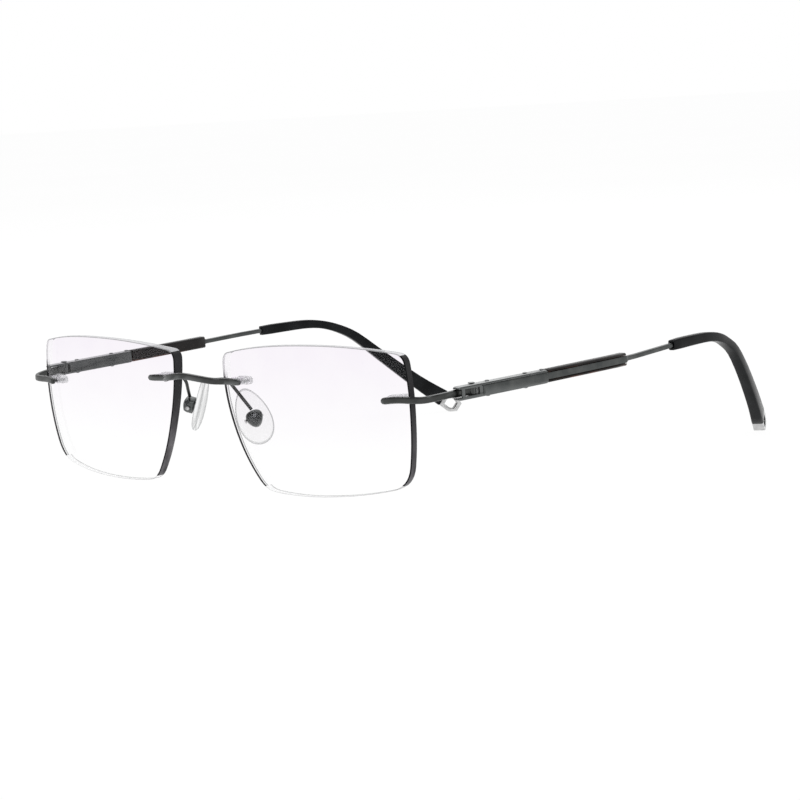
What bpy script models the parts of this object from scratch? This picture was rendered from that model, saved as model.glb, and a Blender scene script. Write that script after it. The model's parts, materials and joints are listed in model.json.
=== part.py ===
"""Rimless eyeglasses with drilled lenses, folding temples and rocking nose pads.

The glasses stand open on the lens edges and the temple tips. X is the wearer's left, Y points
back along the temples, Z is up, and the table is Z = 0. The plane X = 0 is the middle of the
bridge. Lengths below are in millimetres; the meshes are written in metres. Every left-hand piece
is described once, and its right-hand twin is the same shape mirrored in X = 0.
"""

import math

import bmesh
import bpy
from mathutils import Matrix, Vector

MM = 0.001
# The design is drawn with Y = 0 at the lens front; the origin is then moved to the middle.
ORIGIN_Y = 66.27

# Lenses
LENS_CENTRE = Vector((39.4, -1.1, 17.73))
LENS_WRAP = math.radians(5.0)
LENS_TILT = math.radians(4.1)
FRONT_RADIUS = 135.0
REAR_RADIUS = 108.0
CENTRE_THICKNESS = 1.2
NASAL_THICKENING = 0.009
# Corners in the lens plane, nasal-top first and then clockwise, with the rounding of each corner
LENS_CORNERS = ((-30.2, 14.4), (27.4, 15.3), (25.5, -14.6), (-18.5, -17.3))
CORNER_CUT = (2.2, 2.1, 4.6, 3.0)
# How far each side bulges: top, temporal, bottom, nasal
SIDE_BULGE = (2.5, 2.0, 1.6, 3.3)
HOLE_RADIUS = 0.8

# Lens mountings: hole places in the lens plane, inner hole first
BRIDGE_HOLES = ((-24.0, 8.2), (-26.9, 8.2))
ENDPIECE_HOLES = ((22.6, 5.3), (26.0, 5.5))
PIN_RADIUS = 0.35
BUSH_BORE = 0.43
BUSH_RADIUS = 0.72
BUSH_START = 0.3
PLUG_RADIUS = 0.94
PLUG_BACK = 1.35
PLUG_GAP = 0.2

# Front bars
BAR_HEIGHT = 1.58
BAR_DEPTH = 1.1
BAR_STANDOFF = 0.75
BAR_CORNER = 0.4
# The endpiece is taller where it enters the hinge slot
TONGUE_HEIGHT = 1.76
TONGUE_SECTIONS = 3
PIN_REACH = 0.9
# Centre line from beside the lens to the middle of the bridge
BRIDGE_LINE = ((10.4, -2.2, 26.1), (8.6, -3.9, 26.3), (5.6, -5.0, 26.8), (0.0, -5.4, 27.3))
# Centre line from beside the lens round the bend to the hinge barrel
ENDPIECE_LINE = ((69.5, 3.5, 23.35), (72.0, 4.3, 23.45), (73.5, 6.1, 23.75), (74.45, 9.5, 24.1),
                 (75.4, 14.9, 24.4))

# Nose pads
PAD_CENTRE = Vector((9.8, 7.4, 17.2))
# The pads are bent to the wearer's nose, the left one lower
PAD_SHIFT = {1: Vector((-0.3, 0.0, -0.5)), -1: Vector((0.0, 0.0, 1.7))}
PAD_UP = Vector((-0.42, -0.06, 0.905)).normalized()
PAD_FACING = Vector((-0.83, 0.55, 0.0))
PAD_LENGTH = 14.2
PAD_WIDTH = 8.2
PAD_THICKNESS = 1.7
CUP_RADIUS = 2.1
# Middle radius and depth of the cup's three soft lobes, as shares of its radius
CUP_LOBES = (0.95, 0.07)
CUP_DEPTH = 2.5
CUP_WALL = 0.4
CUP_GAP = 0.8
CUP_DROP = 1.0
WIRE_RADIUS = 0.42
PIVOT_DEPTH = 1.0
PAD_HOLE = 0.33
PAD_SCREW_RADIUS = 0.25
STUD_HALF = (0.75, 0.8)
STUD_REACH = 1.45
# Pad arm: from the back of the bridge round the lens edge, then straight on to the cup
ARM_LINE = ((8.75, -2.65, 26.5), (8.55, -0.3, 26.35), (8.45, 1.1, 26.05), (8.5, 2.2, 24.8))
ARM_GAP = 0.2
ARM_LANDING = 1.4

# Hinge: a vertical pivot, with the housing drawn from it along the temple
PIVOT = Vector((75.55, 15.5, 24.4))
HOUSING_YAW = math.radians(2.1)
HOUSING_PITCH = math.radians(2.2)
HOUSING_INNER = -1.0
HOUSING_OUTER = 1.5
HOUSING_FRONT = -4.8
HOUSING_REAR = 22.1
HOUSING_HEIGHT = 3.1
SLOT_HEIGHT = 2.0
SLOT_REAR = 1.25
# How far the fork reaches in front of the outer wall
FORK_REACH = 0.7
BARREL_RADIUS = 1.0
BARREL_HEIGHT = 1.86
SCREW_RADIUS = 0.4
WALL = 0.35
WINDOW = (-3.3, 1.1, 1.65)
COVER = (2.1, 21.95, 2.3)
COVER_THICKNESS = 0.28
RIVET_PLACES = (4.5, 16.1)
CORE_SCREW_PLACE = 21.3
SOCKET_FRONT = 16.6
HOUSING_CORNER = 0.35
# Rivets and core screw: shank, hole and head radii
SHANK_RADIUS = 0.34
SHANK_HOLE = 0.42
HEAD_RADIUS = 0.5
PIVOT_HEAD_RADIUS = 0.8
# Long enough to pass right through whatever it cuts
THROUGH = 3.0

# Temple behind the housing: centre line points, then the sizes of what runs along it
TEMPLE_LINE = (
    (76.35, 33.0, 25.1),
    (76.6, 39.6, 25.4),
    (77.0, 52.0, 25.95),
    (77.15, 64.0, 26.5),
    (76.45, 73.0, 27.1),
    (75.2, 82.5, 27.7),
    (74.05, 91.0, 28.05),
    (73.2, 97.5, 28.1),
    (72.1, 102.5, 27.45),
    (70.6, 107.0, 25.9),
    (69.1, 111.8, 23.2),
    (66.3, 118.4, 17.3),
    (61.8, 127.0, 9.4),
    (57.9, 133.3, 4.0),
)
SLEEVE_SPAN = (37.9, 63.2)
SLEEVE_SIZE = (2.4, 3.0)
SLEEVE_SLOT = (1.9, 1.55)
BAND_SIZE = (1.35, 1.7)
BAND_SHIFT = 0.5
CORE_WIRE = 0.58
CORE_END = 90.0
TIP_START = 82.4
TIP_WIDTH = (1.9, 3.0)
# Heights at the start, at the slim part before the bend and at the end
TIP_HEIGHT = (2.65, 2.2, 4.7)
TIP_SLIM = 0.35
TIP_SWELL = 2.6
TIP_CORNER = 0.4
TIP_BORE = 0.7
TIP_BORE_DEPTH = 8.6
RING_LENGTH = 5.3
RING_WIDTH = 4.8
RING_DEPTH = 2.8
RING_WALL = 1.05

GAP = 0.08


# Scene and materials

def clear_scene():
    """Remove every object of the open file."""
    for old in list(bpy.data.objects):
        bpy.data.objects.remove(old, do_unlink=True)


def make_material(name, colour, roughness, metallic, transmission=0.0):
    """Make a Principled material."""
    material = bpy.data.materials.new(name)
    material.use_nodes = True
    shader = material.node_tree.nodes["Principled BSDF"]
    shader.inputs["Base Color"].default_value = (*colour, 1.0)
    shader.inputs["Roughness"].default_value = roughness
    shader.inputs["Metallic"].default_value = metallic
    shader.inputs["Transmission Weight"].default_value = transmission
    material.diffuse_color = (*colour, 1.0)
    return material


# Mesh helpers. A shape is a pair: a list of points and a list of faces.

def smooth_curve(points, steps):
    """Catmull-Rom curve through the points, with the given steps in each span."""
    knots = [Vector(p) for p in points]
    knots = [2 * knots[0] - knots[1]] + knots + [2 * knots[-1] - knots[-2]]
    curve = []
    for i in range(1, len(knots) - 2):
        a, b, c, d = knots[i - 1:i + 3]
        for k in range(steps):
            t = k / steps
            curve.append(0.5 * (2 * b + (c - a) * t + (2 * a - 5 * b + 4 * c - d) * t ** 2
                                + (3 * b - a - 3 * c + d) * t ** 3))
    curve.append(knots[-2])
    return curve


def along(curve, start, end):
    """Part of a curve between two values of Y, with exact ends."""
    def cut(y):
        for a, b in zip(curve, curve[1:]):
            if a.y <= y <= b.y:
                return a.lerp(b, (y - a.y) / (b.y - a.y))
        return curve[-1]
    inside = [p for p in curve if start + 0.4 < p.y < end - 0.4]
    return [cut(start)] + inside + [cut(end)]


def rounded_rectangle(width, height, corner, steps=2):
    """Outline of a rectangle with rounded corners, anticlockwise in its own plane."""
    outline = []
    centres = ((1, 1), (-1, 1), (-1, -1), (1, -1))
    for quarter, (sx, sy) in enumerate(centres):
        for k in range(steps + 1):
            angle = math.pi / 2 * (quarter + k / steps)
            outline.append((sx * (width / 2 - corner) + corner * math.cos(angle),
                            sy * (height / 2 - corner) + corner * math.sin(angle)))
    return outline


def circle(radius, sides, turn=0.0):
    """Outline of a circle as a regular polygon."""
    step = 2 * math.pi / sides
    return [(radius * math.cos(turn + step * k), radius * math.sin(turn + step * k))
            for k in range(sides)]


def path_frames(path, up):
    """Sideways and upward unit vectors at each point of a path."""
    frames = []
    for i, point in enumerate(path):
        ahead = path[min(i + 1, len(path) - 1)]
        behind = path[max(i - 1, 0)]
        tangent = (ahead - behind).normalized()
        side = tangent.cross(up).normalized()
        frames.append((point, side, side.cross(tangent)))
    return frames


def loft(rings):
    """Closed skin over equal rings of points, with flat ends."""
    count = len(rings[0])
    points = [p for ring in rings for p in ring]
    faces = []
    for i in range(len(rings) - 1):
        for k in range(count):
            j = (k + 1) % count
            faces.append((i * count + k, i * count + j, (i + 1) * count + j, (i + 1) * count + k))
    faces.append(tuple(range(count)))
    faces.append(tuple(range((len(rings) - 1) * count, len(rings) * count)))
    return points, faces


def sweep(path, sections, up=Vector((0, 0, 1))):
    """Loft outlines, one for each point of the path."""
    rings = []
    for (point, side, rise), outline in zip(path_frames(path, up), sections):
        rings.append([point + side * u + rise * v for u, v in outline])
    return loft(rings)


def prism(outline, low, high, matrix):
    """Extrude an outline from one height to another, then place it with a matrix."""
    rings = [[matrix @ Vector((u, v, h)) for u, v in outline] for h in (low, high)]
    return loft(rings)


def turned(profile, sides, matrix):
    """Turn a profile of (radius, height) pairs about the matrix's Z axis."""
    rings = [[matrix @ Vector((u, v, h)) for u, v in circle(r, sides)] for r, h in profile]
    return loft(rings)


def box(low, high, matrix):
    """Box between two corners, placed with a matrix."""
    outline = ((low[0], low[1]), (high[0], low[1]), (high[0], high[1]), (low[0], high[1]))
    return prism(outline, low[2], high[2], matrix)


def frame_matrix(origin, z_axis, x_hint):
    """Matrix whose Z follows z_axis and whose X lies as near x_hint as it can."""
    z = z_axis.normalized()
    x = (x_hint - z * x_hint.dot(z)).normalized()
    y = z.cross(x)
    matrix = Matrix((x, y, z)).transposed().to_4x4()
    matrix.translation = origin
    return matrix


# Objects

def make_object(name, shape, side, material=None, axis=None):
    """Turn a shape into an object; side -1 mirrors it, axis is the empty that carries it."""
    points, faces = shape
    mesh = bpy.data.meshes.new(name)
    bm = bmesh.new()
    origin = axis.location if axis else Vector((0, 0, 0))
    for p in points:
        placed = Vector((p.x * side, p.y - ORIGIN_Y, p.z)) * MM
        bm.verts.new(placed - origin)
    bm.verts.ensure_lookup_table()
    for face in faces:
        bm.faces.new([bm.verts[i] for i in face])
    bmesh.ops.recalc_face_normals(bm, faces=bm.faces)
    bm.to_mesh(mesh)
    bm.free()
    mesh.shade_smooth()
    mesh.set_sharp_from_angle(angle=math.radians(35))
    obj = bpy.data.objects.new(name, mesh)
    bpy.context.scene.collection.objects.link(obj)
    if material:
        mesh.materials.append(material)
    if axis:
        obj.parent = axis
    return obj


def make_axis(name, point, side):
    """Empty on a joint's axis."""
    empty = bpy.data.objects.new(name, None)
    empty.location = Vector((point.x * side, point.y - ORIGIN_Y, point.z)) * MM
    bpy.context.scene.collection.objects.link(empty)
    return empty


def combine(target, shape, side, operation, axis=None):
    """Cut a shape from an object or join it on, with a Boolean and a hidden tool."""
    tool = make_object(target.name + "_tool", shape, side, axis=axis)
    tool.hide_render = True
    tool.display_type = "WIRE"
    boolean = target.modifiers.new(operation.title(), "BOOLEAN")
    boolean.operation = operation
    boolean.object = tool
    boolean.solver = "EXACT"


# Lens geometry

def lens_depth(u, v, radius):
    """How far a spherical face lies behind its foremost point."""
    return radius - math.sqrt(radius ** 2 - u ** 2 - v ** 2)


def lens_matrix():
    """Placement of the lens plane: X along the lens, Y back, Z up."""
    return (Matrix.Translation(LENS_CENTRE) @ Matrix.Rotation(LENS_WRAP, 4, "Z")
            @ Matrix.Rotation(LENS_TILT, 4, "X"))


def front_point(u, v):
    """Point on the lens front."""
    return lens_matrix() @ Vector((u, lens_depth(u, v, FRONT_RADIUS), v))


def rear_depth(u, v):
    """Depth of the rear face, which is thicker towards the nose."""
    return CENTRE_THICKNESS + lens_depth(u, v, REAR_RADIUS) - NASAL_THICKENING * u


def rear_point(u, v):
    """Point on the lens rear."""
    return lens_matrix() @ Vector((u, rear_depth(u, v), v))


def lens_side(i, steps):
    """Points along one bulging side, from its corner cut to the next."""
    a = Vector(LENS_CORNERS[i])
    b = Vector(LENS_CORNERS[(i + 1) % 4])
    length = (b - a).length
    outward = Vector((-(b - a).y, (b - a).x)).normalized()
    start = CORNER_CUT[i] / length
    end = 1 - CORNER_CUT[(i + 1) % 4] / length
    points = []
    for k in range(steps + 1):
        t = start + (end - start) * k / steps
        bulge = SIDE_BULGE[i] * (1 - abs(2 * t - 1) ** 2.2)
        points.append(a.lerp(b, t) + outward * bulge)
    return points


def lens_outline(side_steps, corner_steps):
    """Closed outline: four bulging sides joined by rounded corners."""
    sides = [lens_side(i, side_steps) for i in range(4)]
    outline = []
    for i in range(4):
        outline += sides[i]
        p0, p1 = sides[i][-2], sides[i][-1]
        q0, q1 = sides[(i + 1) % 4][0], sides[(i + 1) % 4][1]
        d, e = p1 - p0, q0 - q1
        cross = d.x * e.y - d.y * e.x
        reach = ((q0 - p1).x * e.y - (q0 - p1).y * e.x) / cross
        corner = p1 + d * reach
        for k in range(1, corner_steps):
            t = k / corner_steps
            outline.append(p1 * (1 - t) ** 2 + corner * 2 * t * (1 - t) + q0 * t ** 2)
    return outline


def lens_shape():
    """Spherical shell lens: rings of points from the middle to the edge, front and back."""
    outline = lens_outline(9, 3)
    scales = (0.3, 0.6, 0.85, 1.0)
    front = [[front_point(p.x * s, p.y * s) for p in outline] for s in scales]
    back = [[rear_point(p.x * s, p.y * s) for p in outline] for s in reversed(scales)]
    return loft(front + back)


# Pieces of the front

def mount_matrix(holes, place=0.0):
    """Matrix on the lens front along the line of two holes, its Z square to the lens there.

    Place is measured from the middle of the two holes towards the first one.
    """
    a, b = Vector(holes[0]), Vector(holes[1])
    middle = (a + b) / 2
    curve = (1 / FRONT_RADIUS + 1 / REAR_RADIUS) / 2
    slope = Vector((middle.x * curve - NASAL_THICKENING / 2, middle.y * curve))
    turn = lens_matrix().to_3x3()
    back = turn @ Vector((-slope.x, 1, -slope.y))
    spot = middle + (a - b).normalized() * place
    inward = turn @ Vector(((a - b).x, 0, (a - b).y))
    return frame_matrix(front_point(*spot), back, inward)


def hole_matrices(holes):
    """Matrices of the two holes of a mounting."""
    half = (Vector(holes[0]) - Vector(holes[1])).length / 2
    return [mount_matrix(holes, place) for place in (half, -half)]


def bar_point(holes, place):
    """Point on a bar's centre line, in front of the lens."""
    return mount_matrix(holes, place) @ Vector((0, 0, -BAR_STANDOFF))


def thickness(holes):
    """Thickness of the lens at the middle of a mounting, along the mounting's Z."""
    middle = (Vector(holes[0]) + Vector(holes[1])) / 2
    matrix = mount_matrix(holes)
    return (matrix.inverted() @ rear_point(*middle)).z


def make_lens(name, side, glass):
    """Lens with four drilled holes, two for the bridge and two for the endpiece."""
    lens = make_object(name, lens_shape(), side, glass)
    for matrix in hole_matrices(BRIDGE_HOLES) + hole_matrices(ENDPIECE_HOLES):
        drill = turned(((HOLE_RADIUS, -THROUGH), (HOLE_RADIUS, 2 * THROUGH)), 12, matrix)
        combine(lens, drill, side, "DIFFERENCE")
    return lens


def bar_sections(count, round_start, round_end):
    """Bar outlines, rounded off at the chosen ends."""
    full = rounded_rectangle(BAR_DEPTH, BAR_HEIGHT, BAR_CORNER)
    sections = [full] * count
    for flag, order in ((round_start, (0, 1)), (round_end, (-1, -2))):
        if flag:
            sections[order[0]] = [(u * 0.55, v * 0.45) for u, v in full]
            sections[order[1]] = [(u * 0.95, v * 0.88) for u, v in full]
    return sections


def add_pins(bar, holes, side):
    """Two pins from a bar back through the lens holes."""
    reach = thickness(holes) + PIN_REACH
    for matrix in hole_matrices(holes):
        pin = turned(((PIN_RADIUS, -BAR_STANDOFF), (PIN_RADIUS, reach)), 10, matrix)
        combine(bar, pin, side, "UNION")


def make_bridge(metal):
    """Bent bar between the lenses, bowed forward and up over the nose."""
    half = [bar_point(BRIDGE_HOLES, place) for place in (3.2, 2.7, 1.45, -1.45)]
    half += [Vector(p) for p in BRIDGE_LINE]
    curve = smooth_curve(half[2:] + [mirror(p) for p in reversed(half[2:-1])], 3)
    path = half[:2] + curve + [mirror(p) for p in reversed(half[:2])]
    sections = bar_sections(len(path), True, True)
    bridge = make_object("bridge", sweep(path, sections), 1, metal)
    for side in (1, -1):
        add_pins(bridge, BRIDGE_HOLES, side)
    return bridge


def mirror(point):
    """The same point on the other side of the middle plane."""
    return Vector((-point.x, point.y, point.z))


def endpiece_path():
    """Centre line from the lens front round the bend to the hinge barrel."""
    start = [bar_point(ENDPIECE_HOLES, place) for place in (2.6, 2.2)]
    bend = [bar_point(ENDPIECE_HOLES, place) for place in (1.7, -1.7)]
    return start + smooth_curve(bend + list(ENDPIECE_LINE), 3)


def make_endpiece(name, side, metal):
    """Bar that wraps round to the temple and ends in the hinge barrel."""
    path = endpiece_path()
    sections = bar_sections(len(path), True, False)
    tongue = [(u, v * TONGUE_HEIGHT / BAR_HEIGHT) for u, v in sections[-1]]
    sections[-TONGUE_SECTIONS:] = [tongue] * TONGUE_SECTIONS
    endpiece = make_object(name, sweep(path, sections), side, metal)
    add_pins(endpiece, ENDPIECE_HOLES, side)
    at_pivot = Matrix.Translation(PIVOT)
    half = BARREL_HEIGHT / 2
    barrel = turned(((BARREL_RADIUS, -half), (BARREL_RADIUS, half)), 20, at_pivot)
    combine(endpiece, barrel, side, "UNION")
    hole = SCREW_RADIUS + GAP
    bore = turned(((hole, -THROUGH), (hole, THROUGH)), 16, at_pivot)
    combine(endpiece, bore, side, "DIFFERENCE")
    return endpiece


def make_plug(name, holes, side, clear):
    """Clear double plug behind the lens: a rounded block with two bushes that fill the holes."""
    face = thickness(holes) + PLUG_GAP
    half = (Vector(holes[0]) - Vector(holes[1])).length / 2
    outline = []
    for x, y in circle(PLUG_RADIUS, 16, math.pi / 16):
        outline.append((x + math.copysign(half, x), y))
    block = prism(outline, face, face + PLUG_BACK, mount_matrix(holes))
    plug = make_object(name, block, side, clear)
    inside = face + PLUG_BACK / 2
    for matrix in hole_matrices(holes):
        bush = turned(((BUSH_RADIUS, BUSH_START), (BUSH_RADIUS, inside)), 14, matrix)
        combine(plug, bush, side, "UNION")
    for matrix in hole_matrices(holes):
        bore = turned(((BUSH_BORE, -THROUGH), (BUSH_BORE, face + PIN_REACH)), 12, matrix)
        combine(plug, bore, side, "DIFFERENCE")
    return plug


# Nose pads

def pad_matrix(side):
    """Placement of a nose pad: X across it, Y up it, Z towards the nose."""
    facing = (PAD_FACING - PAD_UP * PAD_FACING.dot(PAD_UP)).normalized()
    across = PAD_UP.cross(facing)
    matrix = Matrix((across, PAD_UP, facing)).transposed().to_4x4()
    matrix.translation = PAD_CENTRE + PAD_SHIFT[side]
    return matrix


def cup_height():
    """Height of the cup's open rim in the pad's frame."""
    return -PAD_THICKNESS / 2 - CUP_GAP


def pad_pivot(side):
    """Point on the rocking axis, in the middle of the cup."""
    return pad_matrix(side) @ Vector((0, -CUP_DROP, cup_height() - PIVOT_DEPTH))


def pad_cross(side):
    """Matrix on the rocking axis: Z along the cross screw."""
    along_screw = pad_matrix(side).to_3x3() @ Vector((1, 0, 0))
    return frame_matrix(pad_pivot(side), along_screw, Vector((0, 0, 1)))


def pad_outline(scale):
    """Teardrop outline, broad at the bottom."""
    outline = []
    for k in range(24):
        angle = 2 * math.pi * k / 24
        rise = math.sin(angle)
        width = PAD_WIDTH / 2 * (1 - 0.2 * rise)
        outline.append((scale * width * math.cos(angle), scale * PAD_LENGTH / 2 * rise))
    return outline


def make_pad(name, side, silicone, axis):
    """Soft pad with a stud on its back that sits in the cup."""
    half = PAD_THICKNESS / 2
    layers = ((0.72, -half), (0.95, -half * 0.6), (1.0, 0.0), (0.93, half * 0.7), (0.6, half))
    matrix = pad_matrix(side)
    rings = [[matrix @ Vector((x, y, h)) for x, y in pad_outline(s)] for s, h in layers]
    pad = make_object(name, loft(rings), side, silicone, axis)
    x, y = STUD_HALF
    low = cup_height() - STUD_REACH
    stud = box((-x, -y - CUP_DROP, low), (x, y - CUP_DROP, 0.0), matrix)
    combine(pad, stud, side, "UNION", axis)
    bore = turned(((PAD_HOLE, -THROUGH), (PAD_HOLE, THROUGH)), 12, pad_cross(side))
    combine(pad, bore, side, "DIFFERENCE", axis)
    return pad


def make_cup(name, side, metal):
    """Small open metal cup, pointed below, with a cross hole for the pad screw."""
    rim = cup_height()
    base = rim - CUP_DEPTH
    outer = CUP_RADIUS
    inner = CUP_RADIUS - CUP_WALL
    floor = base + CUP_WALL
    profile = ((0.9, base), (outer - 0.25, base + 0.35), (outer, base + 1.0), (outer, rim),
               (inner, rim), (inner, base + 1.0), (inner - 0.2, floor + 0.2), (0.7, floor))
    matrix = pad_matrix(side) @ Matrix.Translation((0, -CUP_DROP, 0))
    middle, lobe = CUP_LOBES
    rings = []
    for radius, height in profile:
        ring = []
        for k in range(24):
            angle = 2 * math.pi * k / 24
            reach = radius * (middle + lobe * math.cos(3 * (angle + math.pi / 2)))
            ring.append(matrix @ Vector((reach * math.cos(angle), reach * math.sin(angle), height)))
        rings.append(ring)
    cup = make_object(name, loft(rings), side, metal)
    hole = turned(((PAD_HOLE, -THROUGH), (PAD_HOLE, THROUGH)), 12, pad_cross(side))
    combine(cup, hole, side, "DIFFERENCE")
    return cup


def make_pad_screw(name, side, steel):
    """Cross screw that the pad rocks on, its head outside the cup."""
    shank = PAD_SCREW_RADIUS
    reach = CUP_RADIUS + 0.05
    profile = ((shank, -reach), (shank, reach), (2 * shank, reach), (2 * shank, reach + 0.25),
               (1.4 * shank, reach + 0.4))
    return make_object(name, turned(profile, 12, pad_cross(side)), side, steel)


def make_pad_arm(name, side, metal):
    """Wire soldered behind the bridge, round the lens edge and down to the cup."""
    matrix = pad_matrix(side)
    above = CUP_RADIUS * (CUP_LOBES[0] - CUP_LOBES[1]) + ARM_GAP - CUP_DROP
    landing = matrix @ Vector((0.0, above, cup_height() - ARM_LANDING))
    knots = [Vector(p) for p in ARM_LINE]
    knots += [knots[-1].lerp(landing, 0.5), landing]
    path = smooth_curve(knots, 3)
    sections = [circle(WIRE_RADIUS, 10)] * len(path)
    return make_object(name, sweep(path, sections, Vector((1, 0, 0))), side, metal)


# Temples

def housing_matrix():
    """Placement of the housing: origin on the pivot, Y back along the temple."""
    return (Matrix.Translation(PIVOT) @ Matrix.Rotation(-HOUSING_YAW, 4, "Z")
            @ Matrix.Rotation(HOUSING_PITCH, 4, "X"))


def upright(place):
    """Matrix at a place along the middle of the housing, Z up through it."""
    return housing_matrix() @ Matrix.Translation(((HOUSING_OUTER + HOUSING_INNER) / 2, place, 0))


def make_housing(name, side, metal, axis):
    """Boxed temple front: fork for the barrel, window outside, socket for the core behind."""
    matrix = housing_matrix()
    width = HOUSING_OUTER - HOUSING_INNER
    middle = (HOUSING_OUTER + HOUSING_INNER) / 2
    outline = rounded_rectangle(width, HOUSING_HEIGHT, HOUSING_CORNER)
    rings = []
    stations = ((HOUSING_FRONT, 0.86), (HOUSING_FRONT + 0.4, 1.0), (HOUSING_REAR - 0.3, 1.0),
                (HOUSING_REAR, 0.92))
    for y, scale in stations:
        rings.append([matrix @ Vector((middle + u * scale, y, v * scale)) for u, v in outline])
    housing = make_object(name, loft(rings), side, metal, axis)
    half = SLOT_HEIGHT / 2
    inner_wall = HOUSING_OUTER - WALL
    slot = box((-THROUGH, HOUSING_FRONT - 1, -half), (inner_wall, SLOT_REAR, half), matrix)
    front, rear, height = WINDOW
    window = box((0, front, -height / 2), (THROUGH, rear, height / 2), matrix)
    notch = box((0, HOUSING_FRONT - 1, -half), (THROUGH, HOUSING_FRONT + FORK_REACH, half), matrix)
    tongue_side, tongue_height = BAND_SIZE
    low = tongue_x() - tongue_side / 2 - GAP
    high = tongue_x() + tongue_side / 2 + GAP
    reach = tongue_height / 2 + GAP
    socket = box((low, SOCKET_FRONT, -reach), (high, HOUSING_REAR + 1, reach), matrix)
    hole = SCREW_RADIUS + GAP
    bore = turned(((hole, -THROUGH), (hole, THROUGH)), 16, Matrix.Translation(PIVOT))
    cutters = [slot, window, notch, socket, bore]
    for place in RIVET_PLACES:
        hole = turned(((SHANK_HOLE, -THROUGH), (SHANK_HOLE, THROUGH)), 12, upright(place))
        cutters.append(hole)
    cutters.append(turned(((SHANK_HOLE, 0), (SHANK_HOLE, THROUGH)), 12, upright(CORE_SCREW_PLACE)))
    for cutter in cutters:
        combine(housing, cutter, side, "DIFFERENCE", axis)
    return housing


def tongue_x():
    """Sideways place of the core's tongue in the housing's frame."""
    return (HOUSING_OUTER + HOUSING_INNER) / 2


def make_cover(name, side, metal, axis):
    """Raised panel with chamfered edges on the outside of the housing."""
    front, rear, height = COVER
    base = HOUSING_OUTER + GAP
    matrix = housing_matrix()
    corners = ((front, -1), (rear, -1), (rear, 1), (front, 1))
    rings = []
    for x, inset in ((base, 0.0), (base + COVER_THICKNESS * 0.4, 0.0),
                     (base + COVER_THICKNESS, 0.3)):
        ring = []
        for y, sign in corners:
            middle = (front + rear) / 2
            place = y - inset if y > middle else y + inset
            ring.append(matrix @ Vector((x, place, sign * (height / 2 - inset))))
        rings.append(ring)
    return make_object(name, loft(rings), side, metal, axis)


def make_hinge_screw(name, side, steel, axis):
    """Pivot screw with a low head on top of the fork."""
    low = -HOUSING_HEIGHT / 2
    top = HOUSING_HEIGHT / 2 + 1.5 * GAP
    head = PIVOT_HEAD_RADIUS
    profile = ((SCREW_RADIUS * 0.8, low - 0.1), (SCREW_RADIUS, low), (SCREW_RADIUS, top),
               (head, top), (head, top + 0.15), (head * 0.75, top + 0.28))
    matrix = Matrix.Translation(PIVOT)
    return make_object(name, turned(profile, 16, matrix), side, steel, axis)


def make_rivet(name, place, side, steel, axis):
    """Rivet through the housing with a domed head at each end."""
    face = HOUSING_HEIGHT / 2 + 0.05
    shank, head = SHANK_RADIUS, HEAD_RADIUS
    profile = ((head * 0.6, -face - 0.22), (head, -face - 0.12), (head, -face), (shank, -face),
               (shank, face), (head, face), (head, face + 0.12), (head * 0.6, face + 0.22))
    return make_object(name, turned(profile, 12, upright(place)), side, steel, axis)


def make_core_screw(name, side, steel, axis):
    """Short screw that clamps the core's tongue in the housing."""
    face = HOUSING_HEIGHT / 2 + 0.05
    tip = BAND_SIZE[1] / 2 + GAP
    shank, head = SHANK_RADIUS, HEAD_RADIUS
    profile = ((shank * 0.9, tip), (shank, tip + 0.1), (shank, face), (head, face),
               (head, face + 0.12), (head * 0.6, face + 0.22))
    matrix = upright(CORE_SCREW_PLACE)
    return make_object(name, turned(profile, 12, matrix), side, steel, axis)


def make_core(name, side, metal, axis):
    """Spring wire: a tongue in the housing, a flat band in the sleeve, then wire into the tip."""
    line = smooth_curve(TEMPLE_LINE, 3)
    matrix = housing_matrix()
    tongue = [matrix @ Vector((tongue_x(), y, 0)) for y in (SOCKET_FRONT + 0.3, HOUSING_REAR)]
    sleeved = along(line, SLEEVE_SPAN[0] - 0.1, SLEEVE_SPAN[1] + 0.1)
    band = [point + Vector((BAND_SHIFT, 0, 0)) for point in sleeved]
    wire = along(line, SLEEVE_SPAN[1] + 1.2, CORE_END)
    path = tongue + band + wire
    flat = rounded_rectangle(BAND_SIZE[0], BAND_SIZE[1], 0.2)
    thin = rounded_rectangle(2 * CORE_WIRE, 2 * CORE_WIRE, 0.3)
    sections = [flat] * (len(tongue) + len(band)) + [thin] * len(wire)
    return make_object(name, sweep(path, sections), side, metal, axis)


def make_sleeve(name, side, plastic, axis):
    """Dark channel round the core, open on the outside."""
    line = along(smooth_curve(TEMPLE_LINE, 3), *SLEEVE_SPAN)
    width, height = SLEEVE_SIZE
    slot_height, slot_depth = SLEEVE_SLOT
    x, z, c = width / 2, height / 2, 0.3
    floor = x - slot_depth
    slot = slot_height / 2
    outline = ((x, slot), (x, z - c), (x - c, z), (-x + c, z), (-x, z - c), (-x, -z + c),
               (-x + c, -z), (x - c, -z), (x, -z + c), (x, -slot), (floor, -slot), (floor, slot))
    return make_object(name, sweep(line, [outline] * len(line)), side, plastic, axis)


def tip_size(share):
    """Width and height of the tip at a share of its length: slim, then broad."""
    width = TIP_WIDTH[0] + (TIP_WIDTH[1] - TIP_WIDTH[0]) * share
    start, slim, end = TIP_HEIGHT
    if share < TIP_SLIM:
        return width, start + (slim - start) * share / TIP_SLIM
    swell = ((share - TIP_SLIM) / (1 - TIP_SLIM)) ** TIP_SWELL
    return width, slim + (end - slim) * swell


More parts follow.
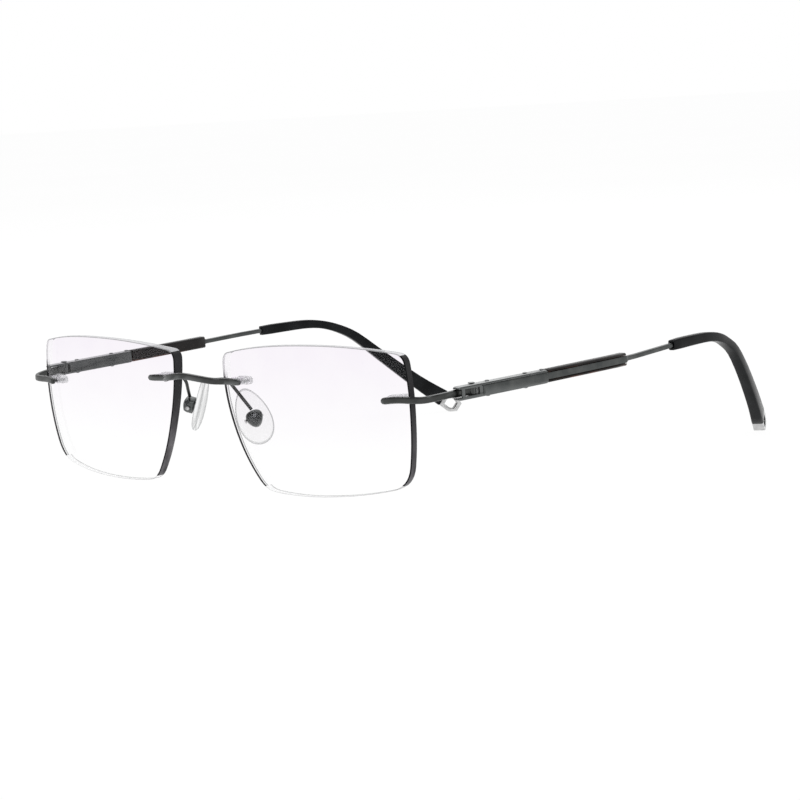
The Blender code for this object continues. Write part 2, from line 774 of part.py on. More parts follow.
def make_tip(name, side, plastic, axis):
    """Acetate tip: straight, bent down behind the ear, broadening to its end, bored for the core."""
    line = along(smooth_curve(TEMPLE_LINE, 3), TIP_START, TEMPLE_LINE[-1][1])
    frames = path_frames(line, Vector((0, 0, 1)))
    rings = []
    for i, (point, across, rise) in enumerate(frames):
        width, height = tip_size(i / (len(frames) - 1))
        blunt = 0.92 if i == 0 else 1.0
        outline = rounded_rectangle(width * blunt, height * blunt, TIP_CORNER)
        rings.append([point + across * u + rise * v for u, v in outline])
    bore_line = along(smooth_curve(TEMPLE_LINE, 3), TIP_START, TIP_START + TIP_BORE_DEPTH)
    bore = []
    for point, across, rise in path_frames(bore_line, Vector((0, 0, 1))):
        outline = rounded_rectangle(2 * TIP_BORE, 2 * TIP_BORE, TIP_BORE / 2)
        bore.append([point + across * u + rise * v for u, v in outline])
    return make_object(name, loft(list(reversed(bore)) + rings), side, plastic, axis)


def ring_matrix():
    """Placement of the end ring: X across the temple, Y on down the tip, Z square to both."""
    line = smooth_curve(TEMPLE_LINE, 3)
    end = line[-1]
    onward = (end - line[-3]).normalized()
    across = onward.cross(Vector((0, 0, 1))).normalized()
    matrix = Matrix((across, onward, across.cross(onward))).transposed().to_4x4()
    matrix.translation = end + onward * 0.1
    return matrix


def make_ring(name, side, steel, axis):
    """Polished end ring of the tip, cut level where it stands on the table."""
    matrix = ring_matrix()
    w = RING_WIDTH / 2
    wide = RING_LENGTH * 0.6
    far = RING_LENGTH - RING_WALL
    near = RING_WALL
    outer = ((0.0, -w * 0.9), (wide, -w), (RING_LENGTH, -w * 0.6),
             (RING_LENGTH, w * 0.62), (wide, w), (0.0, w * 0.92))
    inner = ((near, -w * 0.5), (wide, -w + RING_WALL), (far, -w * 0.38),
             (far, w * 0.4), (wide, w - RING_WALL), (near, w * 0.52))
    half = RING_DEPTH / 2
    points = []
    for x in (-half, half):
        for outline in (outer, inner):
            points += [matrix @ Vector((x, y, z)) for y, z in outline]
    count = len(outer)
    faces = []
    for k in range(count):
        j = (k + 1) % count
        faces.append((k, j, j + count, k + count))
        faces.append((k + 2 * count, j + 2 * count, j + 3 * count, k + 3 * count))
        faces.append((k, j, j + 2 * count, k + 2 * count))
        faces.append((k + count, j + count, j + 3 * count, k + 3 * count))
    ring = make_object(name, (points, faces), side, steel, axis)
    spot = matrix.translation
    ground = Matrix.Translation((spot.x, spot.y, 0))
    reach = 2 * RING_LENGTH
    below = box((-reach, -reach, -reach), (reach, reach, 0), ground)
    combine(ring, below, side, "DIFFERENCE", axis)
    return ring


def build():
    """Build the glasses: the front first, then each side's pads and temple."""
    clear_scene()
    glass = make_material("clear_lens", (0.93, 0.92, 0.95), 0.05, 0.0, 0.9)
    gunmetal = make_material("gunmetal", (0.085, 0.09, 0.09), 0.38, 1.0)
    clear = make_material("clear_plastic", (0.9, 0.9, 0.9), 0.2, 0.0, 0.8)
    silicone = make_material("silicone", (0.88, 0.88, 0.87), 0.3, 0.0, 0.7)
    steel = make_material("polished_steel", (0.72, 0.72, 0.72), 0.15, 1.0)
    sleeve = make_material("sleeve_plastic", (0.02, 0.018, 0.017), 0.35, 0.0)
    tip = make_material("tip_acetate", (0.035, 0.037, 0.04), 0.45, 0.0)

    make_bridge(gunmetal)
    for label, side in (("left", 1), ("right", -1)):
        make_lens(label + "_lens", side, glass)
        make_endpiece(label + "_endpiece", side, gunmetal)
        make_plug(label + "_bridge_plug", BRIDGE_HOLES, side, clear)
        make_plug(label + "_endpiece_plug", ENDPIECE_HOLES, side, clear)
        make_pad_arm(label + "_pad_arm", side, gunmetal)
        make_cup(label + "_pad_cup", side, gunmetal)
        make_pad_screw(label + "_pad_screw", side, steel)
        rocker = make_axis(label + "_pad_axis", pad_pivot(side), side)
        make_pad(label + "_nose_pad", side, silicone, rocker)
        hinge = make_axis(label + "_hinge_axis", PIVOT, side)
        make_housing(label + "_temple_housing", side, gunmetal, hinge)
        make_cover(label + "_temple_cover", side, gunmetal, hinge)
        make_hinge_screw(label + "_hinge_screw", side, gunmetal, hinge)
        for number, place in enumerate(RIVET_PLACES, 1):
            make_rivet(f"{label}_rivet_{number}", place, side, gunmetal, hinge)
        make_core_screw(label + "_core_screw", side, gunmetal, hinge)
        make_core(label + "_temple_core", side, gunmetal, hinge)
        make_sleeve(label + "_temple_sleeve", side, sleeve, hinge)
        make_tip(label + "_temple_tip", side, tip, hinge)
        make_ring(label + "_tip_ring", side, steel, hinge)


build()
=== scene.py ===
"""Looks of the rimless eyeglasses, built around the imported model.

Lengths below are in millimetres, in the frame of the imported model: X to the wearer's left, Y back
along the temples, Z up from the table.
"""

import json
import math

import bmesh
import bpy
from mathutils import Matrix, Vector


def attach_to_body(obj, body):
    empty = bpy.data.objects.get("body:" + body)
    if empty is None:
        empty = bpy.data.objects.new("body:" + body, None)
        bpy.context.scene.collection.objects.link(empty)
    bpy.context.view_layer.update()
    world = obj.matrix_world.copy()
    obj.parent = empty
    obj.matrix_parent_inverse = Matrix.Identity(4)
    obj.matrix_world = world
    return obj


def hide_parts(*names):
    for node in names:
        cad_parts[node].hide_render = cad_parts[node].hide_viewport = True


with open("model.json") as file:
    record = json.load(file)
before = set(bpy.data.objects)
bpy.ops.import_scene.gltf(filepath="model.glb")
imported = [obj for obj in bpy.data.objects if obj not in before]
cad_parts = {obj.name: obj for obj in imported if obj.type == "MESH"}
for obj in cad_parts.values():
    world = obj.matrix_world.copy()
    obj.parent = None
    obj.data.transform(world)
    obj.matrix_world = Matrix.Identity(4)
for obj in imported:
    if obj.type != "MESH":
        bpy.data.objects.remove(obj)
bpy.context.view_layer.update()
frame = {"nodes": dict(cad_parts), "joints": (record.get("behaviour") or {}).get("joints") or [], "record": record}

CAD = frame["nodes"]
SIDES = (("left", 1), ("right", -1))
MM = 0.001

# Camera
CAMERA_PLACE = Vector((524.77, -486.94, 90.95))
CAMERA_AZIMUTH = math.radians(47.302)
CAMERA_ELEVATION = math.radians(6.174)
CAMERA_ROLL = math.radians(3.234)
FOCAL_LENGTH = 128.25

# Lens: the same design values as the model, here for a finer mesh
LENS_CENTRE = Vector((39.4, -67.37, 17.73))
LENS_WRAP = math.radians(5.0)
LENS_TILT = math.radians(4.1)
FRONT_RADIUS = 135.0
REAR_RADIUS = 108.0
CENTRE_THICKNESS = 1.2
NASAL_THICKENING = 0.009
LENS_CORNERS = ((-30.2, 14.4), (27.4, 15.3), (25.5, -14.6), (-18.5, -17.3))
CORNER_CUT = (2.2, 2.1, 4.6, 3.0)
SIDE_BULGE = (2.5, 2.0, 1.6, 3.3)
LENS_HOLES = ((-24.0, 8.2), (-26.9, 8.2), (22.6, 5.3), (26.0, 5.5))
HOLE_RADIUS = 0.8
DRILL_SPAN = (-3.0, 9.0)
DRILL_SIDES = 32
LENS_CHAMFER = 0.25
LENS_MEAN_RADIUS = 25.0
SIDE_STEPS = 36
CORNER_STEPS = 8
FACE_RINGS = 9
# Bands of the ground edge from front to rear. A band's looks are places in the lens's list of materials:
# where the edge faces +X, where it faces -X, and along the top or bottom. The looks are painted
# reflection: a dark reflection towards +X, clear with painted lines towards -X, a pale painted
# highlight along the top or bottom.
WALL_BANDS = (0.0, 0.32, 0.44, 0.62, 1.0)
BAND_LOOKS = ((2, 4, 7), (1, 4, 6), (1, 3, 6), (1, 5, 6), (1, 3, 6), (2, 3, 7))
LEVEL_WALL = 0.8

# Nose pads
PAD_UP = Vector((-0.42, -0.06, 0.905)).normalized()
PAD_LENGTH = 14.2
PAD_WIDTH = 8.2
PAD_THICKNESS = 1.7
CUP_GAP = 0.8
CUP_DROP = 1.0
PIVOT_DEPTH = 1.0
PAD_TAPER = 0.2
PAD_SIDES = 64
# Shares of the outline and of half the thickness, from the back to the face
PAD_LAYERS = ((0.35, -0.45), (0.62, -0.62), (0.82, -0.95), (0.93, -0.9), (0.985, -0.6),
              (1.0, -0.15), (0.99, 0.25), (0.94, 0.6), (0.84, 0.83), (0.68, 0.95), (0.42, 1.0),
              (0.15, 1.0))
# The pad layers that take the rim look: painted grey lines that stand for reflections at the pad's edge.
PAD_RIM_BANDS = (3, 6)

# Rounded edges of the copied pieces, in millimetres and degrees
WELD = 0.002
FLAT_ANGLE = 0.5
ROUNDING = 0.09
ROUNDED_ANGLE = 32.0
SHARP_ANGLE = 40.0
PAD_SHARP_ANGLE = 60.0

# How squarely a face looks inwards to count as inside, and how deep the end of a piece reaches
INWARD_SHARE = 0.4
END_DEPTH = 0.4


# Material helpers

def new_material(name):
    """An empty Principled material: the material, its tree and its shader."""
    material = bpy.data.materials.new(name)
    material.use_nodes = True
    tree = material.node_tree
    return material, tree, tree.nodes["Principled BSDF"]


def set_values(shader, **values):
    """Set shader sockets by name, with _ for a space."""
    for name, value in values.items():
        shader.inputs[name.replace("_", " ")].default_value = value


def noise(tree, scale, detail, stretch=(1.0, 1.0, 1.0)):
    """Noise fixed to the piece, its scale in features per metre."""
    place = tree.nodes.new("ShaderNodeTexCoord")
    mapping = tree.nodes.new("ShaderNodeMapping")
    mapping.inputs["Scale"].default_value = stretch
    texture = tree.nodes.new("ShaderNodeTexNoise")
    texture.inputs["Scale"].default_value = scale
    texture.inputs["Detail"].default_value = detail
    tree.links.new(place.outputs["Object"], mapping.inputs["Vector"])
    tree.links.new(mapping.outputs["Vector"], texture.inputs["Vector"])
    return texture.outputs["Fac"]


def ramp(tree, value, stops):
    """Colour ramp over a value; a stop is a position and a colour or a grey."""
    node = tree.nodes.new("ShaderNodeValToRGB")
    elements = node.color_ramp.elements
    while len(elements) < len(stops):
        elements.new(1.0)
    for element, (position, colour) in zip(elements, stops):
        element.position = position
        if isinstance(colour, (int, float)):
            colour = (colour, colour, colour)
        element.color = (*colour, 1.0)
    tree.links.new(value, node.inputs["Fac"])
    return node.outputs["Color"]


def mix(tree, factor, first, second):
    """Mix two colours, each a socket or a colour, by a factor's socket."""
    node = tree.nodes.new("ShaderNodeMix")
    node.data_type = "RGBA"
    tree.links.new(factor, node.inputs[0])
    for socket, value in ((node.inputs[6], first), (node.inputs[7], second)):
        if isinstance(value, bpy.types.NodeSocket):
            tree.links.new(value, socket)
        else:
            socket.default_value = (*value, 1.0)
    return node.outputs[2]


def bump(tree, shader, height, strength, distance):
    """Bump the shader's normal by a height."""
    node = tree.nodes.new("ShaderNodeBump")
    node.inputs["Strength"].default_value = strength
    node.inputs["Distance"].default_value = distance * MM
    tree.links.new(height, node.inputs["Height"])
    tree.links.new(node.outputs["Normal"], shader.inputs["Normal"])


def axis_value(tree, axis, kind="Object"):
    """One component of the object coordinates, in metres, or of the normal."""
    place = tree.nodes.new("ShaderNodeTexCoord")
    split = tree.nodes.new("ShaderNodeSeparateXYZ")
    tree.links.new(place.outputs[kind], split.inputs["Vector"])
    return split.outputs[axis]


def product(tree, first, second):
    """Multiply two values; each is a socket or a number."""
    node = tree.nodes.new("ShaderNodeMath")
    node.operation = "MULTIPLY"
    for socket, value in zip(node.inputs, (first, second)):
        if isinstance(value, bpy.types.NodeSocket):
            tree.links.new(value, socket)
        else:
            socket.default_value = value
    return node.outputs[0]


def map_range(tree, value, low, high):
    """Clamp a value to 0..1 between two limits."""
    node = tree.nodes.new("ShaderNodeMapRange")
    node.inputs["From Min"].default_value = low
    node.inputs["From Max"].default_value = high
    tree.links.new(value, node.inputs["Value"])
    return node.outputs["Result"]


# Materials

def gunmetal_material(name, dark, light, rough, top):
    """Satin dark plating: soft clouds, fine grain, pale where edges are rubbed, and a painted sheen on faces that
    look up.
    """
    material, tree, shader = new_material(name)
    set_values(shader, Metallic=1.0)
    cloud = ramp(tree, noise(tree, 380.0, 4.0), ((0.35, dark), (0.7, light)))
    geometry = tree.nodes.new("ShaderNodeNewGeometry")
    worn = map_range(tree, geometry.outputs["Pointiness"], 0.53, 0.62)
    rubbed = product(tree, worn, 0.3)
    # Painted highlight: faces that look up are made paler, up to the top argument, as if lit from above.
    level = map_range(tree, axis_value(tree, "Z", "Normal"), 0.7, 0.97)
    painted_top_sheen = ramp(tree, noise(tree, 900.0, 3.0), ((0.3, top * 0.75), (0.7, top)))
    sides = mix(tree, rubbed, cloud, (0.24, 0.25, 0.25))
    pale = mix(tree, product(tree, level, painted_top_sheen), sides, (0.75, 0.76, 0.76))
    tree.links.new(pale, shader.inputs["Base Color"])
    grain = noise(tree, 5200.0, 2.0, (1.0, 0.12, 1.0))
    tree.links.new(ramp(tree, grain, ((0.3, rough - 0.07), (0.7, rough + 0.07))),
                   shader.inputs["Roughness"])
    bump(tree, shader, grain, 0.12, 0.02)
    return material


def polished_material(name, dark, light):
    """Polished steel with faint wipe marks."""
    material, tree, shader = new_material(name)
    set_values(shader, Metallic=1.0)
    marks = noise(tree, 900.0, 5.0, (1.0, 0.2, 1.0))
    tree.links.new(ramp(tree, marks, ((0.3, dark), (0.7, light))), shader.inputs["Base Color"])
    tree.links.new(ramp(tree, marks, ((0.3, 0.12), (0.75, 0.26))), shader.inputs["Roughness"])
    return material


def lens_material():
    """Clear coated lens: a faint violet cast that fades down from the top."""
    material, tree, shader = new_material("lens_clear_look")
    set_values(shader, Transmission_Weight=1.0, IOR=1.0, Coat_Weight=0.15, Coat_Roughness=0.04)
    height = map_range(tree, axis_value(tree, "Z"), 0.008, 0.034)
    cloud = noise(tree, 160.0, 4.0)
    strong = ramp(tree, cloud, ((0.3, (0.915, 0.872, 0.93)), (0.7, (0.935, 0.9, 0.945))))
    tint = mix(tree, height, (0.999, 0.999, 1.0), strong)
    tree.links.new(tint, shader.inputs["Base Color"])
    tree.links.new(ramp(tree, cloud, ((0.5, 0.0), (0.8, 0.01))), shader.inputs["Roughness"])
    return material


def lens_edge_material(name, dark, light, high, limits, shares):
    """Streaked ground edge, painted with the reflections it would show, that turns to its high colour between two
    heights.

    The shares are how solid it looks below and above them; a single share holds all over.
    """
    material, tree, shader = new_material(name)
    set_values(shader, IOR=1.2)
    streak = noise(tree, 500.0, 3.0, (1.0, 1.0, 0.12))
    # The edge colours are painted reflection: dark where the edge would mirror dark surroundings, pale where it
    # would catch light.
    solid = ramp(tree, streak, ((0.35, dark), (0.7, light)))
    painted_reflection_by_height = map_range(tree, axis_value(tree, "Z"), *limits)
    tree.links.new(mix(tree, painted_reflection_by_height, solid, high), shader.inputs["Base Color"])
    tree.links.new(ramp(tree, streak, ((0.3, 0.25), (0.7, 0.45))), shader.inputs["Roughness"])
    if len(shares) == 1:
        set_values(shader, Alpha=shares[0])
    else:
        solidity = mix(tree, painted_reflection_by_height, *((share, share, share) for share in shares))
        tree.links.new(solidity, shader.inputs["Alpha"])
    return material


def clear_material(name, colour, rough, index, scale, shares):
    """Clear plastic or silicone: nearly invisible face on, greyer where it turns away."""
    material, tree, shader = new_material(name)
    set_values(shader, IOR=index)
    cloud = noise(tree, scale, 3.0)
    paler = tuple(min(1, c + 0.1) for c in colour)
    tree.links.new(ramp(tree, cloud, ((0.3, colour), (0.7, paler))), shader.inputs["Base Color"])
    tree.links.new(ramp(tree, cloud, ((0.3, rough), (0.7, rough + 0.08))),
                   shader.inputs["Roughness"])
    turn = tree.nodes.new("ShaderNodeLayerWeight")
    turn.inputs["Blend"].default_value = 0.5
    face, rim = shares
    opacity = ramp(tree, turn.outputs["Facing"], ((0.0, face), (0.7, 1.6 * face), (1.0, rim)))
    tree.links.new(opacity, shader.inputs["Alpha"])
    return material


def plastic_material(name, dark, light, rough, scale, index, below=None):
    """Dark satin plastic with fine mottling and a slight orange peel.

    Its underside may have another colour, in patches.
    """
    material, tree, shader = new_material(name)
    set_values(shader, IOR=index)
    cloud = noise(tree, scale, 5.0)
    colour = ramp(tree, cloud, ((0.35, dark), (0.7, light)))
    if below:
        under = map_range(tree, axis_value(tree, "Z", "Normal"), -0.1, -0.6)
        patches = map_range(tree, noise(tree, 220.0, 2.0), 0.4, 0.55)
        colour = mix(tree, product(tree, under, patches), colour, below)
    tree.links.new(colour, shader.inputs["Base Color"])
    grain = noise(tree, 2600.0, 2.0)
    tree.links.new(ramp(tree, grain, ((0.3, rough - 0.06), (0.7, rough + 0.06))),
                   shader.inputs["Roughness"])
    bump(tree, shader, grain, 0.1, 0.03)
    return material


# Mesh helpers

def circle(radius, sides):
    """Outline of a circle as a regular polygon."""
    step = 2 * math.pi / sides
    return [(radius * math.cos(step * k), radius * math.sin(step * k)) for k in range(sides)]


def loft(rings):
    """Closed skin over equal rings of points, with flat ends."""
    count = len(rings[0])
    points = [p for ring in rings for p in ring]
    faces = []
    for i in range(len(rings) - 1):
        for k in range(count):
            j = (k + 1) % count
            faces.append((i * count + k, i * count + j, (i + 1) * count + j, (i + 1) * count + k))
    faces.append(tuple(range(count)))
    faces.append(tuple(range((len(rings) - 1) * count, len(rings) * count)))
    return points, faces


def frame_matrix(origin, z_axis, x_hint):
    """Matrix whose Z follows z_axis and whose X lies as near x_hint as it can."""
    z = z_axis.normalized()
    x = (x_hint - z * x_hint.dot(z)).normalized()
    matrix = Matrix((x, z.cross(x), z)).transposed().to_4x4()
    matrix.translation = origin
    return matrix


def add_object(name, mesh):
    """Link a new object to the scene."""
    piece = bpy.data.objects.new(name, mesh)
    bpy.context.scene.collection.objects.link(piece)
    return piece


def mesh_object(name, shape, side=1):
    """Object from points in millimetres and faces; side -1 mirrors it."""
    points, faces = shape
    mesh = bpy.data.meshes.new(name)
    mesh.from_pydata([Vector((p.x * side, p.y, p.z)) * MM for p in points], [], faces)
    bm = bmesh.new()
    bm.from_mesh(mesh)
    bmesh.ops.recalc_face_normals(bm, faces=bm.faces)
    bm.to_mesh(mesh)
    bm.free()
    return add_object(name, mesh)


def face_inwards(piece, start, end, material):
    """Give a material to the faces that look towards the line between two points."""
    piece.data.materials.append(material)
    along = (end - start).normalized()
    for polygon in piece.data.polygons:
        towards = start + along * (polygon.center - start).dot(along) - polygon.center
        if polygon.normal.dot(towards) > INWARD_SHARE * towards.length:
            polygon.material_index = 1


def settle(piece):
    """Apply a piece's modifiers."""
    bpy.context.view_layer.update()
    shown = piece.evaluated_get(bpy.context.evaluated_depsgraph_get())
    mesh = bpy.data.meshes.new_from_object(shown)
    piece.modifiers.clear()
    piece.data = mesh


def shade(piece, angle):
    """Smooth shading with sharp edges above an angle."""
    piece.data.shade_smooth()
    piece.data.set_sharp_from_angle(angle=math.radians(angle))


def attach(piece, body, node):
    """Ride on a body and stand for a node, which is hidden."""
    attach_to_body(piece, body)
    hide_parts(node)


def refined(node, body, material):
    """A copy of a model piece with its sharp edges rounded a little."""
    piece = add_object(node + "_fine", CAD[node].data.copy())
    bm = bmesh.new()
    bm.from_mesh(piece.data)
    bmesh.ops.remove_doubles(bm, verts=bm.verts, dist=WELD * MM)
    bmesh.ops.dissolve_limit(bm, angle_limit=math.radians(FLAT_ANGLE), verts=bm.verts,
                             edges=bm.edges)
    bm.to_mesh(piece.data)
    bm.free()
    bevel = piece.modifiers.new("Round edges", "BEVEL")
    bevel.width = ROUNDING * MM
    bevel.segments = 3
    bevel.limit_method = "ANGLE"
    bevel.angle_limit = math.radians(ROUNDED_ANGLE)
    bevel.harden_normals = True
    settle(piece)
    shade(piece, SHARP_ANGLE)
    piece.data.materials.clear()
    piece.data.materials.append(material)
    attach(piece, body, node)
    return piece


# Lenses

def depth(u, v, radius):
    """How far a spherical face lies behind its foremost point."""
    return radius - math.sqrt(radius ** 2 - u ** 2 - v ** 2)


def lens_matrix():
    """Placement of the left lens plane: X along the lens, Y back, Z up."""
    return (Matrix.Translation(LENS_CENTRE) @ Matrix.Rotation(LENS_WRAP, 4, "Z")
            @ Matrix.Rotation(LENS_TILT, 4, "X"))


def front_point(u, v, inward=0.0):
    """Point on the lens front, or a little inside it."""
    return lens_matrix() @ Vector((u, depth(u, v, FRONT_RADIUS) + inward, v))


def rear_point(u, v, inward=0.0):
    """Point on the lens rear, or a little inside it."""
    y = CENTRE_THICKNESS + depth(u, v, REAR_RADIUS) - NASAL_THICKENING * u
    return lens_matrix() @ Vector((u, y - inward, v))


def lens_side(i):
    """Points along one bulging side, from its corner cut to the next."""
    a = Vector(LENS_CORNERS[i])
    b = Vector(LENS_CORNERS[(i + 1) % 4])
    length = (b - a).length
    outward = Vector((-(b - a).y, (b - a).x)).normalized()
    start = CORNER_CUT[i] / length
    end = 1 - CORNER_CUT[(i + 1) % 4] / length
    points = []
    for k in range(SIDE_STEPS + 1):
        t = start + (end - start) * k / SIDE_STEPS
        bulge = SIDE_BULGE[i] * (1 - abs(2 * t - 1) ** 2.2)
        points.append(a.lerp(b, t) + outward * bulge)
    return points


def lens_outline():
    """Closed outline: four bulging sides joined by rounded corners."""
    sides = [lens_side(i) for i in range(4)]
    outline = []
    for i in range(4):
        outline += sides[i]
        before, last = sides[i][-2:]
        first, after = sides[(i + 1) % 4][:2]
        leaving, entering = last - before, first - after
        cross = leaving.x * entering.y - leaving.y * entering.x
        reach = ((first - last).x * entering.y - (first - last).y * entering.x) / cross
        corner = last + leaving * reach
        for k in range(1, CORNER_STEPS):
            t = k / CORNER_STEPS
            outline.append(last * (1 - t) ** 2 + corner * 2 * t * (1 - t) + first * t ** 2)
    return outline


def make_lens(label, side, clear, edges):
    """Fine lens: smooth faces, a ground edge with small chamfers, and its four holes."""
    outline = lens_outline()
    inset = 1 - LENS_CHAMFER / LENS_MEAN_RADIUS
    scales = [k / FACE_RINGS for k in range(1, FACE_RINGS)] + [inset]
    half = LENS_CHAMFER / 2
    rings = [[front_point(p.x * s, p.y * s) for p in outline] for s in scales]
    front_arris = [front_point(p.x, p.y, half) for p in outline]
    rear_arris = [rear_point(p.x, p.y, half) for p in outline]
    rings += [[a.lerp(b, share) for a, b in zip(front_arris, rear_arris)] for share in WALL_BANDS]
    rings += [[rear_point(p.x * s, p.y * s) for p in outline] for s in reversed(scales)]
    lens = mesh_object(label + "_lens_fine", loft(rings), side)
    for look in (clear, *edges):
        lens.data.materials.append(look)
    count = len(outline)
    first = (len(scales) - 1) * count
    polygons = lens.data.polygons
    walls = [polygons[first + count + k].normal.copy() for k in range(count)]
    # Each band of the edge takes its painted reflection look by the way its wall faces.
    for band, looks in enumerate(BAND_LOOKS):
        for k, wall in enumerate(walls):
            way = 2 if abs(wall.z) > LEVEL_WALL else int(wall.x < 0)
            polygons[first + band * count + k].material_index = looks[way]
    tools = []
    for u, v in LENS_HOLES:
        ends = [lens_matrix() @ Vector((u, y, v)) for y in DRILL_SPAN]
        rings = [[frame_matrix(end, ends[1] - ends[0], Vector((0, 0, 1))) @ Vector((x, y, 0))
                  for x, y in circle(HOLE_RADIUS, DRILL_SIDES)] for end in ends]
        tool = mesh_object("drill", loft(rings), side)
        cut = lens.modifiers.new("Hole", "BOOLEAN")
        cut.operation = "DIFFERENCE"
        cut.object = tool
        tools.append(tool)
    settle(lens)
    for tool in tools:
        bpy.data.objects.remove(tool)
    shade(lens, SHARP_ANGLE)
    attach(lens, "front", label + "_lens")


# Nose pads

def pad_frame(label, side):
    """Placement of a pad from its rocking joint: X across it, Y up it, Z towards the nose."""
    joint = next(j for j in frame["joints"] if j["name"] == label + "_pad_rock")
    up = Vector((PAD_UP.x * side, PAD_UP.y, PAD_UP.z))
    across = Vector(joint["axis"])
    across = (across - up * across.dot(up)).normalized()
    facing = across.cross(up)
    if facing.x * side > 0:
        across = -across
        facing = across.cross(up)
    matrix = Matrix((across, up, facing)).transposed().to_4x4()
    lift = Vector((0, CUP_DROP, PAD_THICKNESS / 2 + CUP_GAP + PIVOT_DEPTH))
    matrix.translation = Vector(joint["pos_m"]) / MM + matrix.to_3x3() @ lift
    return matrix


def make_pad(label, side, silicone, rim):
    """Soft pad: a domed teardrop towards the nose, dished behind, with a greyer rim of painted reflection lines.
    """
    matrix = pad_frame(label, side)
    half = PAD_THICKNESS / 2
    rings = []
    for scale, height in PAD_LAYERS:
        ring = []
        for k in range(PAD_SIDES):
            angle = 2 * math.pi * k / PAD_SIDES
            rise = math.sin(angle)
            width = PAD_WIDTH / 2 * (1 - PAD_TAPER * rise)
            spot = Vector((scale * width * math.cos(angle), scale * PAD_LENGTH / 2 * rise,
                           height * half))
            ring.append(matrix @ spot)
        rings.append(ring)
    pad = mesh_object(label + "_nose_pad_fine", loft(rings))
    shade(pad, PAD_SHARP_ANGLE)
    for look in (silicone, rim):
        pad.data.materials.append(look)
    for i, polygon in enumerate(pad.data.polygons):
        polygon.material_index = int(i // PAD_SIDES in PAD_RIM_BANDS)
    attach(pad, label + "_pad", label + "_nose_pad")


# Light, floor and camera

def make_world():
    """Soft white room: bright round the horizon, greyer overhead."""
    world = bpy.data.worlds.new("studio")
    world.use_nodes = True
    bpy.context.scene.world = world
    tree = world.node_tree
    place = tree.nodes.new("ShaderNodeTexCoord")
    split = tree.nodes.new("ShaderNodeSeparateXYZ")
    tree.links.new(place.outputs["Generated"], split.inputs["Vector"])
    sky = ramp(tree, split.outputs["Z"], ((0.0, 1.0), (0.16, 1.0), (0.4, 0.42), (1.0, 0.5)))
    background = tree.nodes["Background"]
    tree.links.new(sky, background.inputs["Color"])
    background.inputs["Strength"].default_value = 1.0


def make_light(name, place, target, size, power):
    """Square soft light aimed at a point; places in metres."""
    data = bpy.data.lights.new(name, "AREA")
    data.shape = "SQUARE"
    data.size = size
    data.energy = power
    light = bpy.data.objects.new(name, data)
    light.location = place
    light.rotation_euler = (Vector(target) - Vector(place)).to_track_quat("-Z", "Y").to_euler()
    bpy.context.scene.collection.objects.link(light)


def make_floor():
    """Large pale disc under the glasses."""
    bm = bmesh.new()
    bmesh.ops.create_circle(bm, cap_ends=True, segments=128, radius=12.0)
    mesh = bpy.data.meshes.new("floor")
    bm.to_mesh(mesh)
    bm.free()
    floor = add_object("floor", mesh)
    material, tree, shader = new_material("floor_white")
    paper = noise(tree, 3.0, 2.0)
    tree.links.new(ramp(tree, paper, ((0.3, 0.055), (0.7, 0.065))), shader.inputs["Base Color"])
    set_values(shader, Roughness=0.9, Specular_IOR_Level=0.0)
    set_values(shader, Emission_Color=(1.0, 1.0, 1.0, 1.0), Emission_Strength=0.955)
    mesh.materials.append(material)


def make_camera():
    """Camera in front on the wearer's left, a little above the glasses."""
    level = math.cos(CAMERA_ELEVATION)
    back = Vector((math.sin(CAMERA_AZIMUTH) * level, -math.cos(CAMERA_AZIMUTH) * level,
                   math.sin(CAMERA_ELEVATION)))
    right = Vector((0, 0, 1)).cross(back).normalized()
    turned = Matrix((right, back.cross(right), back)).transposed().to_4x4()
    data = bpy.data.cameras.new("camera")
    data.lens = FOCAL_LENGTH
    data.sensor_width = 36.0
    data.clip_start = 0.01
    data.clip_end = 50.0
    camera = bpy.data.objects.new("camera", data)
    camera.matrix_world = (Matrix.Translation(CAMERA_PLACE * MM) @ turned
                           @ Matrix.Rotation(-CAMERA_ROLL, 4, "Z"))
    bpy.context.scene.collection.objects.link(camera)
    bpy.context.scene.camera = camera


def line_through(node, axis):
    """Middle of a node's two ends along an axis, as points in metres."""
    points = [v.co for v in CAD[node].data.vertices]
    low = min(p[axis] for p in points)
    high = max(p[axis] for p in points)
    ends = []
    for limit in (low, high):
        near = [p for p in points if abs(p[axis] - limit) < END_DEPTH * MM]
        ends.append(sum(near, Vector()) / len(near))
    return ends


def lens_edge_looks():
    """Looks of the ground edge, in the order in which BAND_LOOKS counts them from 1.

    They are the wall and chamfers towards +X, painted as a dark reflection; the clear bands, the front
    line and the thin inner line towards -X, painted lines that turn paler above the bridge; and the
    wall and chamfers above and below, painted as a pale highlight.
    """
    # Painted reflection and highlight colours of the edge.
    black = ((0.004, 0.004, 0.005), (0.012, 0.011, 0.013))
    painted_dark_reflection = ((0.05, 0.048, 0.052), (0.15, 0.143, 0.152))
    pale = ((0.7, 0.7, 0.72), (0.8, 0.8, 0.82))
    grey = ((0.12, 0.12, 0.12), (0.22, 0.22, 0.22))
    mid = (0.58, 0.58, 0.59)
    painted_light_above_bridge = (0.0265, 0.0285)
    painted_light_to_top = (0.004, 0.03)
    return (
        lens_edge_material("edge_painted_dark_reflection_look", *painted_dark_reflection, (0.03, 0.029, 0.031), (0.009, 0.022), (1.0,)),
        lens_edge_material("chamfer_painted_dark_reflection_look", *black, black[0], painted_light_above_bridge, (1.0,)),
        lens_edge_material("edge_clear_look", *pale, pale[0], painted_light_above_bridge, (0.06, 0.1)),
        lens_edge_material("front_line_painted_reflection_look", *black, mid, painted_light_above_bridge, (1.0, 0.65)),
        lens_edge_material("inner_line_painted_reflection_look", *grey, pale[0], painted_light_above_bridge, (0.62, 0.1)),
        lens_edge_material("level_wall_painted_highlight_look", *pale, pale[0], painted_light_to_top, (0.2, 0.75)),
        lens_edge_material("level_line_painted_reflection_look", grey[1], mid, (0.4, 0.4, 0.41), painted_light_to_top, (0.5, 0.85)))


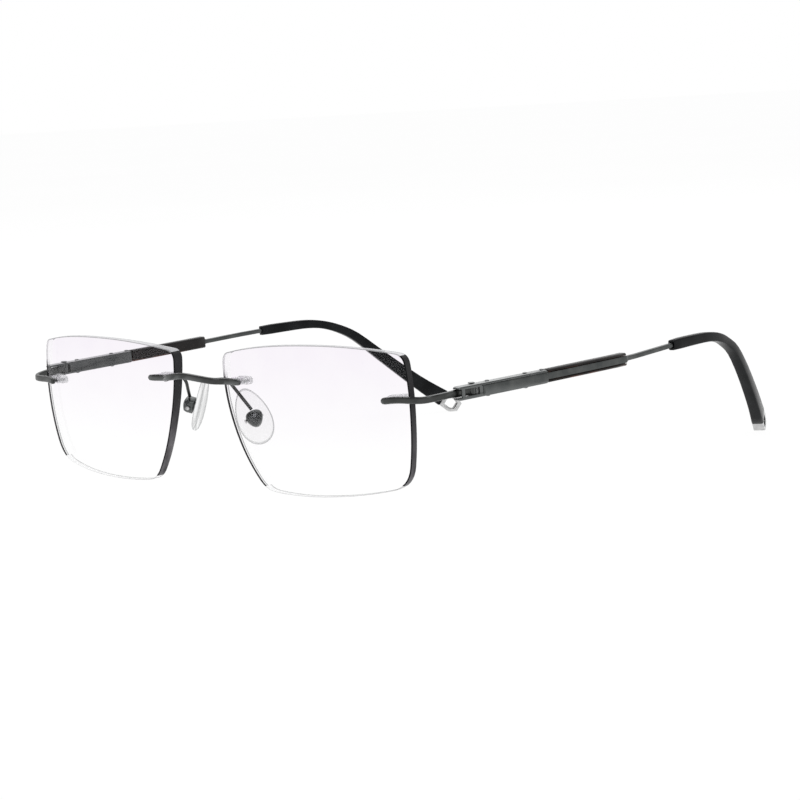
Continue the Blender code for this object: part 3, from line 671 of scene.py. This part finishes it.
def build():
    """Dress every piece, then light and frame the scene."""
    # The last number of each gunmetal look is how pale its painted top sheen gets.
    bars = gunmetal_material("bar_look", (0.048, 0.05, 0.049), (0.068, 0.07, 0.068), 0.3, 0.1)
    box = gunmetal_material("housing_look", (0.068, 0.073, 0.073), (0.098, 0.102, 0.1), 0.3, 0.5)
    core = gunmetal_material("core_look", (0.065, 0.07, 0.07), (0.098, 0.102, 0.1), 0.3, 0.15)
    steel = polished_material("polished_steel_look", 0.46, 0.62)
    # Painted shade: the inside of a ring's hole gets this darker steel.
    ring_painted_shade = polished_material("ring_inside_painted_shade_look", 0.05, 0.1)
    clear = lens_material()
    edges = lens_edge_looks()
    plug = clear_material("plug_look", (0.72, 0.74, 0.73), 0.08, 1.45, 800.0, (0.35, 0.85))
    silicone = clear_material("silicone_look", (0.2, 0.205, 0.205), 0.2, 1.41, 400.0, (0.05, 0.85))
    # The rim look is painted reflection: greyer, more solid silicone on the pad's rim layers.
    rim = clear_material("silicone_rim_painted_reflection_look", (0.3, 0.31, 0.31), 0.2, 1.41, 400.0, (0.34, 0.8))
    brown = (0.11, 0.04, 0.024)
    sleeve = plastic_material("sleeve_look", (0.006, 0.005, 0.005), (0.014, 0.011, 0.01),
                              0.24, 300.0, 1.3, brown)
    rust = plastic_material("sleeve_inside_look", (0.03, 0.014, 0.01), (0.07, 0.034, 0.025),
                            0.4, 500.0, 1.3)
    tip = plastic_material("tip_look", (0.006, 0.0065, 0.007), (0.012, 0.013, 0.014),
                           0.24, 250.0, 1.18)
    looks = {"gunmetal": bars, "polished_steel": steel, "clear_plastic": plug,
             "sleeve_plastic": sleeve, "tip_acetate": tip}
    slots = {s["node"]: s["material_slot"] for s in frame["record"]["subparts"]}
    bodies = {n: body for body, nodes in frame["record"]["behaviour"]["bodies"].items()
              for n in nodes}
    for label, side in SIDES:
        make_lens(label, side, clear, edges)
        make_pad(label, side, silicone, rim)
    for node, slot in slots.items():
        if slot not in looks:
            continue
        look = looks[slot]
        if slot == "gunmetal" and "temple" in bodies[node]:
            look = core if node.endswith("core") else box
        if node.endswith("cup"):
            look = core
        piece = refined(node, bodies[node], look)
        if node.endswith("sleeve"):
            face_inwards(piece, *line_through(node, 1), rust)
        # Faces inside the ring's hole take the painted shade.
        if node.endswith("ring"):
            face_inwards(piece, *line_through(node, 0), ring_painted_shade)
    make_world()
    make_light("key", (-0.25, 0.35, 1.1), (0, 0, 0), 2.0, 12.0)
    make_light("side", (1.0, -0.9, 0.9), (0, 0, 0.02), 0.6, 3.0)
    make_floor()
    make_camera()
    bpy.context.scene.view_settings.view_transform = "Standard"


build()
